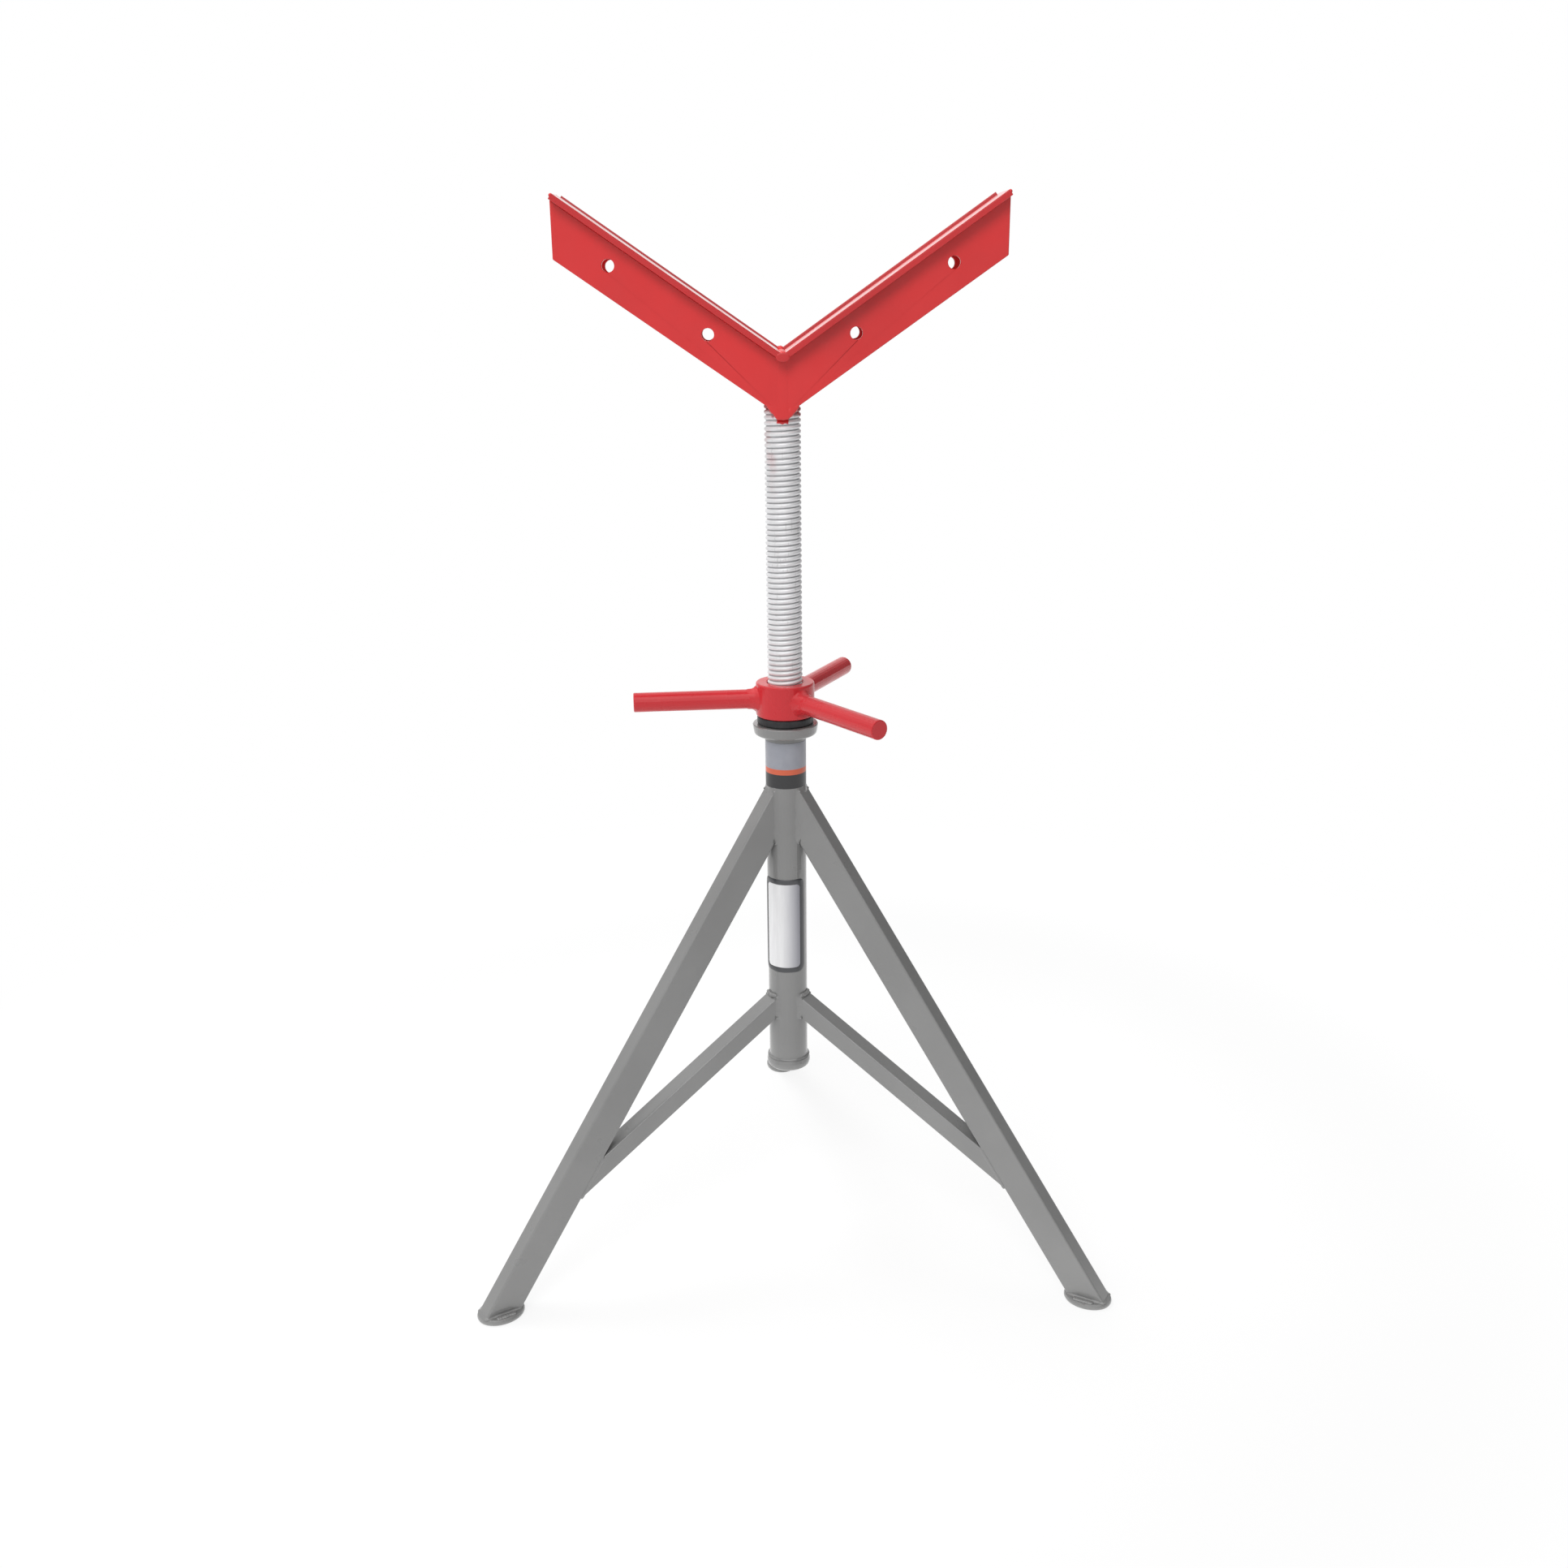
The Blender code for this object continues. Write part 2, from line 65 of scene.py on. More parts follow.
# Sizes of the CAD model that its boxes don't give
SEAT_GAP = 0.0003
ARM_ANGLE = math.radians(34.2)
PLATE_THICKNESS = 0.00635
WEB_DEPTH = 0.0508
TUBE_WIDTH = 0.024
LEG_DEPTH = 0.0405
LEG_CORNER = 0.0024
LEG_ANGLE = math.radians(55.13)
LEG_HEADINGS = {"left": 210.0, "right": 330.0, "rear": 90.0}
FOOT_RADIUS = 0.432
FOOT_TOP = 0.0078
BRACE_DEPTH = 0.025
BRACE_CORNER = 0.0018
BRACE_ANGLE = math.radians(30.9625)
BRACE_HEIGHT_AT_AXIS = 0.34104
HANDLE_RADIUS = 0.012
HANDLE_TURN = math.radians(3.6)
LEG_HEIGHT_AT_AXIS = FOOT_TOP + FOOT_RADIUS * math.tan(LEG_ANGLE)
CROTCH_UNDER = HEAD_POINT + (WEB_DEPTH + SEAT_GAP) / math.cos(ARM_ANGLE)
CROTCH_TOP = CROTCH_UNDER + PLATE_THICKNESS / math.cos(ARM_ANGLE)

AXIS = Vector((0.0, AXIS_Y, 0.0))
UP = Vector((0.0, 0.0, 1.0))
ACROSS = Vector((1.0, 0.0, 0.0))
BACK = Vector((0.0, 1.0, 0.0))

# Thread; the profile holds shares of the pitch and of the depth
PITCH = 0.00635
THREAD_DEPTH = 0.0026
THREAD_STEPS = 64
THREAD_PROFILE = ((0.0, 0.0), (0.07, 0.16), (0.15, 0.50), (0.24, 0.80), (0.35, 0.96), (0.50, 1.0),
                  (0.65, 0.96), (0.76, 0.80), (0.85, 0.50), (0.93, 0.16))
SCREW_CHAMFER = 0.002
CHAMFER_BELOW_ROOT = 0.001
TONGUE_REACH = 0.0086

# Welds: widths of the fillets, radii of the beads, and the pitch of their ripples
LEG_FILLET = 0.0042
FOOT_FILLET = 0.0024
BRACE_FILLET = 0.0050
PAD_BEAD = 0.0019
BRACE_LUMP = 0.0029
BRACE_SEAM = 0.0006
BRACE_END_BEAD = 0.0026
COLLAR_BEAD = 0.0014
HEAD_SEAM = 0.0060
VALLEY_BEAD = 0.0042
VALLEY_END_BEAD = 0.0036
TIP_BEAD = 0.0021
BEAD_RIPPLE_PITCH = 0.0032
FILLET_RIPPLE_PITCH = 0.0034
FILLET_ROOT = 0.0012
PAD_BEAD_GAP = 0.0056
LUMP_OVER_BRACE, LUMP_OFF_COLUMN = 0.0022, 0.0012
FLARE_LUMPS = 0.0009

# How a handle's weld spreads: distance from the nut, and growth of the handle's radius there
HANDLE_FLARE = ((-0.0030, 0.0042), (0.0, 0.0042), (0.0016, 0.0030), (0.0034, 0.0020), (0.0056, 0.0012),
                (0.0080, 0.0007), (0.0105, 0.0003), (0.0125, -0.0002))

# Head; a profile holds distances out of the face and in from the outline, and the outline of the
# point's weld holds millimetres from the point of the V, across and up
LIP_HEIGHT = 0.0032
LIP_WIDTH = 0.0042
CROWN_HEIGHT = {"left": 0.0015, "right": 0.0008}
CORNER_WELD_WIDTH, CORNER_WELD_HEIGHT, CORNER_WELD_RISE = 0.0160, 0.0100, 0.0049
CORNER_PROFILE = ((-0.004, 0.0), (0.0001, 0.0), (0.0005, 0.0008), (0.0007, 0.0026))
POINT_PROFILE = ((-0.0016, 0.0), (-0.0006, 0.0005), (-0.0001, 0.0014), (0.00012, 0.0030))
POINT_BACK = 0.016
POINT_OUTLINE = ((-15.0, 13.2), (-18.6, 13.6), (-18.0, 10.4), (-13.6, 5.2), (-10.0, 0.8), (-8.4, -1.4),
                 (-7.0, -2.9), (-5.2, -3.4), (-2.4, -3.2), (0.2, -3.5), (3.2, -3.3), (5.7, -3.0),
                 (7.2, -2.0), (8.6, -0.8), (12.0, 2.4), (16.0, 6.8), (18.9, 10.6), (19.4, 14.2),
                 (15.6, 13.4), (0.0, 4.0))

# Badge and label: heights on the column, and headings of their sides in degrees; the frame's profile
# holds shares of its width and heights over the column
BADGE_LOW, BADGE_HIGH = 0.3803, 0.5069
BADGE_SIDES = (-161.0, -52.9)
BADGE_INSET = 0.0053
BADGE_CORNER = 0.0052
BADGE_FRAME_WIDTH, BADGE_FRAME_HEIGHT = 0.0088, 0.0070
BADGE_FRAME_CORNER = 0.0095
BADGE_FRAME_PROFILE = ((-0.02, -0.0004), (0.0, 0.0002), (0.10, 0.0007), (0.3, 0.0010), (0.5, 0.0009),
                       (0.7, 0.0010), (0.90, 0.0007), (1.0, 0.0002), (1.02, -0.0004))
LABEL_LOW, LABEL_HIGH = 0.6313, 0.6903
LABEL_SIDES = (-200.0, 20.0)
ORANGE_LOW, ORANGE_HIGH = 0.6493, 0.6563

# Camera, fitted to points of the photograph: pixels of its frame, metres and degrees
PHOTO_WIDTH = 1932.0
FOCAL_LENGTH = 1882.3
FRAME_SHIFT = 60.4
SENSOR_WIDTH = 36.0
CAMERA_DISTANCE = 1.8522
CAMERA_HEIGHT = 1.22
CAMERA_ORBIT, CAMERA_YAW, CAMERA_PITCH, CAMERA_ROLL = -1.52, 0.10, -19.503, -0.6

# Light; the floor stops keeping shadows between two distances from the stand
LAMP_AIM = (0.0, -0.1, 0.6)
FLOOR_REACH = 14.0
SHADOWS_FADE = (0.6, 1.6)


def link(name, data):
    """A new object in the scene, with this mesh, lamp or camera."""
    new = bpy.data.objects.new(name, data)
    bpy.context.scene.collection.objects.link(new)
    return new


# Nodes

class Nodes:
    """A short way to write a tree of shader nodes."""

    def __init__(self, tree, coordinates):
        self.tree = tree
        self.place = self.node("ShaderNodeTexCoord").outputs[coordinates]

    def node(self, kind, settings=None, **values):
        new = self.tree.nodes.new(kind)
        for key, value in (settings or {}).items():
            setattr(new, key, value)
        for key, value in values.items():
            self.feed(value, new.inputs[key.replace("_", " ")])
        return new

    def feed(self, value, socket):
        if isinstance(value, bpy.types.NodeSocket):
            self.tree.links.new(value, socket)
        elif isinstance(value, tuple) and len(value) == 3 and socket.type == "RGBA":
            socket.default_value = (*value, 1.0)
        else:
            socket.default_value = value

    def feed_all(self, values, sockets):
        for value, socket in zip(values, sockets):
            self.feed(value, socket)

    def split(self, vector):
        return self.node("ShaderNodeSeparateXYZ", Vector=vector).outputs

    def noise(self, scale, detail=2.0, roughness=0.5, vector=None):
        return self.node("ShaderNodeTexNoise", Vector=vector or self.place, Scale=scale, Detail=detail,
                         Roughness=roughness).outputs["Fac"]

    def clouds(self, scale, detail=2.0):
        return self.ramp(self.noise(scale, detail), 0.3, 0.7)

    def stretched(self, scale):
        """Coordinates that draw a pattern out along Z; the smaller the scale, the longer."""
        scaled = self.node("ShaderNodeMapping", {"vector_type": "POINT"}, Vector=self.place)
        scaled.inputs["Scale"].default_value = (1.0, 1.0, scale)
        return scaled.outputs["Vector"]

    def ramp(self, value, low, high, to_low=0.0, to_high=1.0):
        new = self.node("ShaderNodeMapRange", {"interpolation_type": "SMOOTHSTEP"}, Value=value)
        for key, limit in (("From Min", low), ("From Max", high), ("To Min", to_low), ("To Max", to_high)):
            new.inputs[key].default_value = limit
        return new.outputs["Result"]

    def math(self, operation, first, second=0.0):
        new = self.node("ShaderNodeMath", {"operation": operation})
        self.feed_all((first, second), new.inputs)
        return new.outputs[0]

    def choose(self, share, first, second):
        """A value between two others."""
        new = self.node("ShaderNodeMix")
        self.feed_all((share, first, second), (new.inputs[0], new.inputs[2], new.inputs[3]))
        return new.outputs[0]

    def mix(self, share, first, second):
        """A colour between two others."""
        new = self.node("ShaderNodeMix", {"data_type": "RGBA"})
        self.feed_all((share, first, second), (new.inputs[0], new.inputs[6], new.inputs[7]))
        return new.outputs[2]

    def bump(self, height, strength, distance, normal=None):
        new = self.node("ShaderNodeBump", Height=height, Strength=strength, Distance=distance)
        if normal is not None:
            self.feed(normal, new.inputs["Normal"])
        return new.outputs["Normal"]

    def cockle(self, strength):
        return self.bump(self.noise(90.0, 1.0), strength, 0.001)


class Recipe(Nodes):
    """A material, written as nodes."""

    def __init__(self, name):
        self.material = bpy.data.materials.new(name)
        self.material.use_nodes = True
        super().__init__(self.material.node_tree, "Object")
        self.shader = self.tree.nodes["Principled BSDF"]

    def finish(self, **values):
        for key, value in values.items():
            self.feed(value, self.shader.inputs[key.replace("_", " ")])
        return self.material


# Camera, light and surroundings

def turned(degrees, axis):
    return Matrix.Rotation(math.radians(degrees), 4, axis)


def add_camera():
    data = bpy.data.cameras.new("camera")
    data.sensor_width = SENSOR_WIDTH
    data.lens = SENSOR_WIDTH * FOCAL_LENGTH / PHOTO_WIDTH
    data.shift_y = FRAME_SHIFT / PHOTO_WIDTH
    data.clip_start = 0.05
    camera = link("camera", data)
    orbit = Matrix.Translation(AXIS) @ turned(CAMERA_ORBIT, "Z")
    place = orbit @ Matrix.Translation((0.0, -CAMERA_DISTANCE, CAMERA_HEIGHT))
    camera.matrix_world = (place @ turned(CAMERA_YAW, "Z") @ turned(90.0 + CAMERA_PITCH, "X")
                           @ turned(CAMERA_ROLL, "Z"))
    bpy.context.scene.camera = camera


def add_world():
    """White where the camera sees it; its light is stronger from the left than from the right."""
    world = bpy.data.worlds.new("world")
    bpy.context.scene.world = world
    world.use_nodes = True
    world.node_tree.nodes.clear()
    w = Nodes(world.node_tree, "Generated")
    x, y, z = w.split(w.place)
    soft = w.math("ADD", w.ramp(x, -1.0, 1.0, 0.94, 0.20), w.ramp(z, 0.3, 1.0, 0.0, 0.12))

    # What glossy surfaces mirror: the sides, the front, the back, the sky and a patch high in front
    beside = w.ramp(x, -0.9, 0.9, 0.56, 0.18)
    before = w.ramp(x, 0.05, 0.85, 0.98, 0.28)
    mirrored = w.choose(w.ramp(y, -1.0, -0.3), before, beside)
    mirrored = w.choose(w.ramp(y, 0.75, 0.95), mirrored, 1.0)
    above = w.math("MULTIPLY", w.ramp(z, 0.30, 0.85), w.ramp(y, -0.5, 0.3, 1.3, 0.6))
    aside = w.math("MULTIPLY", x, x)
    high_front = w.math("MULTIPLY", w.ramp(z, 0.22, 0.42), w.ramp(aside, 0.02, 0.30, 0.5, 0.0))
    high_front = w.math("MULTIPLY", high_front, w.ramp(y, 0.0, 0.4, 1.0, 0.0))
    mirrored = w.math("ADD", w.math("ADD", mirrored, above), high_front)

    path = w.node("ShaderNodeLightPath").outputs
    strength = w.choose(path["Is Glossy Ray"], soft, mirrored)
    strength = w.choose(path["Is Camera Ray"], strength, 1.0)
    strength = w.choose(path["Is Transmission Ray"], strength, 1.0)
    background = w.node("ShaderNodeBackground", Color=(1.0, 1.0, 1.0), Strength=strength)
    w.node("ShaderNodeOutputWorld", Surface=background.outputs[0])


def add_floor():
    """A wide pale floor that keeps faint shadows near the stand and otherwise shows white."""
    mesh = bpy.data.meshes.new("floor")
    corners = [(x * FLOOR_REACH, y * FLOOR_REACH, 0.0) for x, y in ((-1, -1), (1, -1), (1, 1), (-1, 1))]
    mesh.from_pydata(corners, [], [(0, 1, 2, 3)])
    floor = link("floor", mesh)
    r = Recipe("floor")
    distance = r.node("ShaderNodeVectorMath", {"operation": "LENGTH"})
    r.feed(r.place, distance.inputs[0])
    far = r.ramp(distance.outputs["Value"], *SHADOWS_FADE)

    def glowing(near_grey, far_grey, near_glow, far_glow):
        """A matt surface that also glows, by distance from the stand."""
        matt = r.node("ShaderNodeBsdfDiffuse", Color=r.mix(far, (near_grey,) * 3, (far_grey,) * 3))
        glow = r.node("ShaderNodeEmission", Strength=r.ramp(far, 0.0, 1.0, near_glow, far_glow))
        both = r.node("ShaderNodeAddShader")
        r.feed_all((matt.outputs[0], glow.outputs[0]), both.inputs)
        return both.outputs[0]

    lighting = glowing(0.97, 0.40, 0.44, 0.0)
    shown = glowing(0.20, 0.0, 0.81, 1.0)
    path = r.node("ShaderNodeLightPath").outputs
    seen = r.math("MAXIMUM", path["Is Camera Ray"], path["Is Glossy Ray"])
    seen = r.math("MAXIMUM", seen, path["Is Transmission Ray"])
    surface = r.node("ShaderNodeMixShader")
    r.feed_all((seen, lighting, shown), surface.inputs)
    r.feed(surface.outputs[0], r.tree.nodes["Material Output"].inputs["Surface"])
    r.tree.nodes.remove(r.shader)
    mesh.materials.append(r.material)


def add_lamp(name, place, size, power):
    data = bpy.data.lights.new(name, "AREA")
    data.shape = "DISK"
    data.size = size
    data.energy = power
    lamp = link(name, data)
    lamp.visible_glossy = False
    turn = (Vector(LAMP_AIM) - Vector(place)).to_track_quat("-Z", "Y")
    lamp.matrix_world = Matrix.Translation(place) @ turn.to_matrix().to_4x4()


# Materials

def times(colour, share):
    return tuple(channel * share for channel in colour)


def paint(name, colour, roughness, coat, mottle=0.05, uneven=1.0, specular=0.35):
    """Sprayed enamel: faint clouds in the colour, orange peel, slow ripples and small darker specks."""
    r = Recipe(name)
    body = r.mix(r.clouds(9.0, 3.0), times(colour, 1.0 - mottle), times(colour, 1.0 + mottle))
    specks = r.ramp(r.noise(1100.0, 1.0), 0.76, 0.82)
    shade = r.mix(specks, body, times(colour, 1.0 - 0.2 * uneven))
    peel = r.bump(r.noise(420.0, 2.0), 0.05 * uneven, 0.0002)
    ripple = r.bump(r.noise(60.0, 2.0), 0.04 * uneven, 0.0010, peel)
    gloss = r.ramp(r.noise(35.0, 3.0), 0.25, 0.75, roughness - 0.05, roughness + 0.07)
    return r.finish(Base_Color=shade, Roughness=gloss, Normal=ripple, Specular_IOR_Level=specular,
                    Coat_Weight=coat, Coat_Roughness=0.10)


def zinc_thread():
    """Bright plate on a rolled thread: roots painted darker as shade, handling marks and red paint near the
    head.
    """
    r = Recipe("zinc thread")
    offset = r.node("ShaderNodeVectorMath", {"operation": "SUBTRACT"})
    r.feed_all((r.place, (0.0, AXIS_Y, 0.0)), offset.inputs)
    x, y, z = r.split(offset.outputs[0])
    radius = r.math("SQRT", r.math("ADD", r.math("MULTIPLY", x, x), r.math("MULTIPLY", y, y)))
    # Painted shade: the colour darkens from the crests down into the thread's roots.
    out_of_root_shade = r.ramp(radius, SCREW_RADIUS - THREAD_DEPTH, SCREW_RADIUS - 0.45 * THREAD_DEPTH)
    clouds = r.ramp(r.noise(45.0, 4.0, 0.6), 0.35, 0.7)
    bright = r.mix(clouds, (0.77, 0.77, 0.78), (0.84, 0.84, 0.855))
    metal_with_root_shade = r.mix(out_of_root_shade, (0.50, 0.50, 0.51), bright)
    scratches = r.ramp(r.noise(260.0, 2.0, 0.6, r.stretched(0.12)), 0.60, 0.72)
    marked = r.mix(r.math("MULTIPLY", scratches, 0.35), metal_with_root_shade, (0.45, 0.44, 0.44))

    # Overspray under the head, a faint smear below it on the left, a ragged tongue in front and behind
    wander = r.math("MULTIPLY", r.math("SUBTRACT", r.noise(70.0, 3.0), 0.5), 0.030)
    top = r.ramp(r.math("ADD", z, wander), HEAD_POINT - 0.004, HEAD_POINT + 0.006)
    smear = r.math("MULTIPLY", r.ramp(r.noise(38.0, 3.0), 0.46, 0.66),
                   r.ramp(z, HEAD_POINT - 0.11, HEAD_POINT - 0.04))
    smear = r.math("MULTIPLY", smear, r.ramp(x, -0.005, -0.013, 0.0, 0.22))
    red = r.math("MAXIMUM", top, smear)
    colour = r.mix(red, marked, (0.45, 0.03, 0.04))
    ragged = r.math("MULTIPLY", r.math("SUBTRACT", r.noise(240.0, 2.0), 0.5), 0.004)
    tongue_low = HEAD_POINT - TONGUE_REACH
    tongue = r.math("MULTIPLY", r.ramp(r.math("ADD", r.math("ABSOLUTE", x), ragged), 0.0072, 0.0064),
                    r.ramp(r.math("ADD", z, ragged), tongue_low, tongue_low + 0.0008))
    colour = r.mix(tongue, colour, (0.66, 0.03, 0.034))
    red = r.math("MAXIMUM", red, tongue)
    return r.finish(Base_Color=colour, Roughness=r.ramp(clouds, 0.0, 1.0, 0.46, 0.36),
                    Metallic=r.math("SUBTRACT", 0.38, r.math("MULTIPLY", red, 0.38)),
                    Normal=r.bump(r.noise(700.0, 3.0), 0.10, 0.0003))


def black_oxide():
    r = Recipe("black oxide")
    clouds = r.clouds(80.0, 3.0)
    colour = r.mix(clouds, (0.018, 0.018, 0.02), (0.045, 0.045, 0.047))
    return r.finish(Base_Color=colour, Roughness=r.ramp(clouds, 0.0, 1.0, 0.38, 0.55), Metallic=0.4,
                    Normal=r.bump(r.noise(500.0, 3.0), 0.2, 0.0003))


def film(name, colour, roughness):
    """Printed vinyl with a slight cockle."""
    r = Recipe(name)
    shade = r.mix(r.clouds(60.0), times(colour, 0.96), times(colour, 1.03))
    return r.finish(Base_Color=shade, Roughness=roughness, Coat_Weight=0.3, Coat_Roughness=0.12,
                    Normal=r.cockle(0.08))


def shaded_badge_foil():
    """Plain silver foil, painted darker grey towards its right edge as painted shade."""
    r = Recipe("badge foil with painted shade")
    # Painted shade: the foil's colour runs from silver at the left to grey at the right.
    side = r.ramp(r.split(r.place)["X"], -0.014, 0.020)
    streaks = r.ramp(r.noise(240.0, 2.0, 0.5, r.stretched(0.1)), 0.3, 0.7)
    shade = r.mix(side, r.mix(streaks, (0.78, 0.78, 0.79), (0.83, 0.83, 0.84)), (0.29, 0.29, 0.33))
    return r.finish(Base_Color=shade, Roughness=0.34, Metallic=0.15, Coat_Weight=0.3, Coat_Roughness=0.15,
                    Normal=r.cockle(0.05))


def label_wrap():
    """Plain bands of colour at the heights of the label's fields, with nothing printed on them."""
    r = Recipe("label wrap")
    z = r.split(r.place)["Z"]
    edge = 0.0002
    above_black = r.ramp(z, ORANGE_LOW - edge, ORANGE_LOW + edge)
    above_orange = r.ramp(z, ORANGE_HIGH - edge, ORANGE_HIGH + edge)
    grey_band = r.mix(r.clouds(60.0), (0.29, 0.30, 0.34), (0.32, 0.33, 0.37))
    lower = r.mix(above_black, (0.022, 0.022, 0.024), (0.62, 0.115, 0.05))
    return r.finish(Base_Color=r.mix(above_orange, lower, grey_band), Roughness=0.38, Coat_Weight=0.2,
                    Coat_Roughness=0.15, Normal=r.cockle(0.08))


# Mesh helpers

def add_piece(name, mesh, material, body, smooth_angle=40.0):
    mesh.name = name
    mesh.materials.clear()
    mesh.materials.append(material)
    mesh.shade_smooth()
    mesh.set_sharp_from_angle(angle=math.radians(smooth_angle))
    piece = link(name, mesh)
    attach(piece, body)
    return piece


def mesh_from(points, faces, merge=0.000001, mend=False):
    """A mesh with near points merged; mending also drops faces without area and closes open ends."""
    mesh = bpy.data.meshes.new("mesh")
    mesh.from_pydata([tuple(point) for point in points], [], faces)
    work = bmesh.new()
    work.from_mesh(mesh)
    bmesh.ops.remove_doubles(work, verts=work.verts, dist=merge)
    if mend:
        bmesh.ops.dissolve_degenerate(work, edges=work.edges, dist=merge)
        bmesh.ops.holes_fill(work, edges=[edge for edge in work.edges if edge.is_boundary])
    bmesh.ops.recalc_face_normals(work, faces=work.faces)
    work.to_mesh(mesh)
    work.free()
    return mesh


def loft(rings, closed_along=False):
    """Faces between rings of equal length; open ends are capped."""
    count = len(rings[0])
    points = [point for ring in rings for point in ring]
    faces = []
    spans = len(rings) if closed_along else len(rings) - 1
    for i in range(spans):
        here, there = i * count, (i + 1) % len(rings) * count
        for j in range(count):
            k = (j + 1) % count
            faces.append((here + j, here + k, there + k, there + j))
    if not closed_along:
        faces.append(tuple(range(count)))
        faces.append(tuple(range((len(rings) - 1) * count, len(rings) * count)))
    return mesh_from(points, faces)


def resample(path, spacing, closed):
    """Points at an even spacing along a polyline, the distance run to each, and the whole length."""
    stops = path + [path[0]] if closed else path
    lengths = [(b - a).length for a, b in zip(stops, stops[1:])]
    total = sum(lengths)
    count = max(4, round(total / spacing))
    points, runs = [], []
    index, passed = 0, 0.0
    for step in range(count if closed else count + 1):
        run = total * step / count
        while index < len(lengths) - 1 and passed + lengths[index] < run:
            passed += lengths[index]
            index += 1
        share = (run - passed) / max(lengths[index], 1e-9)
        points.append(stops[index].lerp(stops[index + 1], min(max(share, 0.0), 1.0)))
        runs.append(run)
    return points, runs, total


def lump_at(point, scale, seed):
    """Smooth noise between about -1 and 1."""
    return noise.noise(point * scale + Vector((seed, 0.0, 0.0)))


def bead_mesh(path, radius, closed=True, lean=None, flat=1.0, ripple=0.10, seed=0.0, spacing=0.0008,
              sides=12):
    """A weld bead along a path: a round section with ripples, lumps and tapered ends."""
    points, runs, total = resample(path, spacing, closed)
    centre = sum(points, Vector()) / len(points)
    rings = []
    for i, point in enumerate(points):
        before = points[i - 1] if closed or i > 0 else points[i]
        after = points[(i + 1) % len(points)] if closed or i < len(points) - 1 else points[i]
        along = (after - before).normalized()
        side = (lean if lean is not None else point - centre)
        side = (side - along * side.dot(along)).normalized()
        up = along.cross(side)
        scallop = abs(math.sin(math.pi * runs[i] / BEAD_RIPPLE_PITCH + seed)) - 0.5
        size = radius * (1.0 + 0.16 * lump_at(point, 160.0, seed) + ripple * scallop)
        if not closed:
            end = min(1.0, min(runs[i], total - runs[i]) / (radius * 1.5))
            size *= math.sqrt(max(0.03, end * (2.0 - end)))
        rings.append([point + side * (size * math.cos(a)) + up * (size * flat * math.sin(a))
                      for a in (2 * math.pi * j / sides for j in range(sides))])
    return loft(rings, closed)


def fillet_mesh(path, first, second, width, seat=None, ripple=0.06, seed=0.0, steps=6):
    """A hollow weld fillet round a joint, from one surface to the other; their outward normals are given."""
    rings = []
    run = 0.0
    for i, point in enumerate(path):
        run += (point - path[i - 1]).length if i else 0.0
        a, b = first[i], second[i]
        on_first = (b - a * a.dot(b)).normalized()
        on_second = (a - b * a.dot(b)).normalized()
        lump = lump_at(point, 110.0, seed)
        scallop = math.sin(2 * math.pi * run / FILLET_RIPPLE_PITCH + seed)
        size = width * (1.0 + 0.22 * lump + ripple * scallop)
        start = point + on_first * size
        if seat is not None:
            start = seat(start)
        start -= a * SEAT_GAP
        end = point + on_second * size - b * SEAT_GAP
        middle = point + (a + b) * (0.10 * size * (1.0 + 2.0 * lump))
        shares = [step / steps for step in range(steps + 1)]
        ring = [start * (1 - s) ** 2 + middle * (2 * s * (1 - s)) + end * s ** 2 for s in shares]
        rings.append(ring + [point - (a + b) * FILLET_ROOT])
    return loft(rings, True)


def rounded_outline(half_width, half_height, corner, steps):
    """Points round a rectangle with round corners."""
    points = []
    for quarter, (sx, sy) in enumerate(((1, 1), (-1, 1), (-1, -1), (1, -1))):
        centre = Vector((sx * (half_width - corner), sy * (half_height - corner)))
        for step in range(steps + 1):
            angle = (quarter + step / steps) * math.pi / 2
            points.append(centre + Vector((math.cos(angle), math.sin(angle))) * corner)
    return points


class Tube:
    """The outside of a flat-sided tube: points round it in its level and upper directions, and normals."""

    def __init__(self, depth, corner):
        wide, high = TUBE_WIDTH / 2, depth / 2
        self.points = resample(rounded_outline(wide, high, corner, 4), 0.001, True)[0]
        self.normals = []
        for p in self.points:
            inner = Vector((min(max(p.x, corner - wide), wide - corner),
                            min(max(p.y, corner - high), high - corner)))
            self.normals.append((p - inner).normalized())


def outward(heading):
    return Vector((math.cos(heading), math.sin(heading), 0.0))


def radial(point):
    out = point - AXIS
    return Vector((out.x, out.y, 0.0)).normalized()


def seat_on_column(point):
    return AXIS + radial(point) * COLUMN_RADIUS + UP * point.z


class Slope:
    """A tube's straight run from the column's axis outwards and down."""

    def __init__(self, heading, angle, start_height):
        out = outward(heading)
        self.start = AXIS + UP * start_height
        self.along = out * math.cos(angle) - UP * math.sin(angle)
        self.upper = out * math.sin(angle) + UP * math.cos(angle)
        self.level = self.upper.cross(self.along)
        self.angle = angle

    def at(self, x, y, t):
        return self.start + self.level * x + self.upper * y + self.along * t

    def facing(self, tube):
        return [(self.level * normal.x + self.upper * normal.y).normalized() for normal in tube.normals]

    def on_column(self, x, y, radius):
        t = (math.sqrt(max(radius ** 2 - x ** 2, 0.0)) - y * math.sin(self.angle)) / math.cos(self.angle)
        return self.at(x, y, t)

    def on_plane(self, x, y, point, normal):
        base = self.at(x, y, 0.0)
        return base + self.along * ((point - base).dot(normal) / self.along.dot(normal))

    def column_fillet(self, tube, width, **look):
        """The fillet weld where the tube meets the column."""
        joint = [self.on_column(p.x, p.y, COLUMN_RADIUS) for p in tube.points]
        outwards = [radial(p) for p in joint]
        return fillet_mesh(joint, outwards, self.facing(tube), width, seat_on_column, **look)


# Pieces

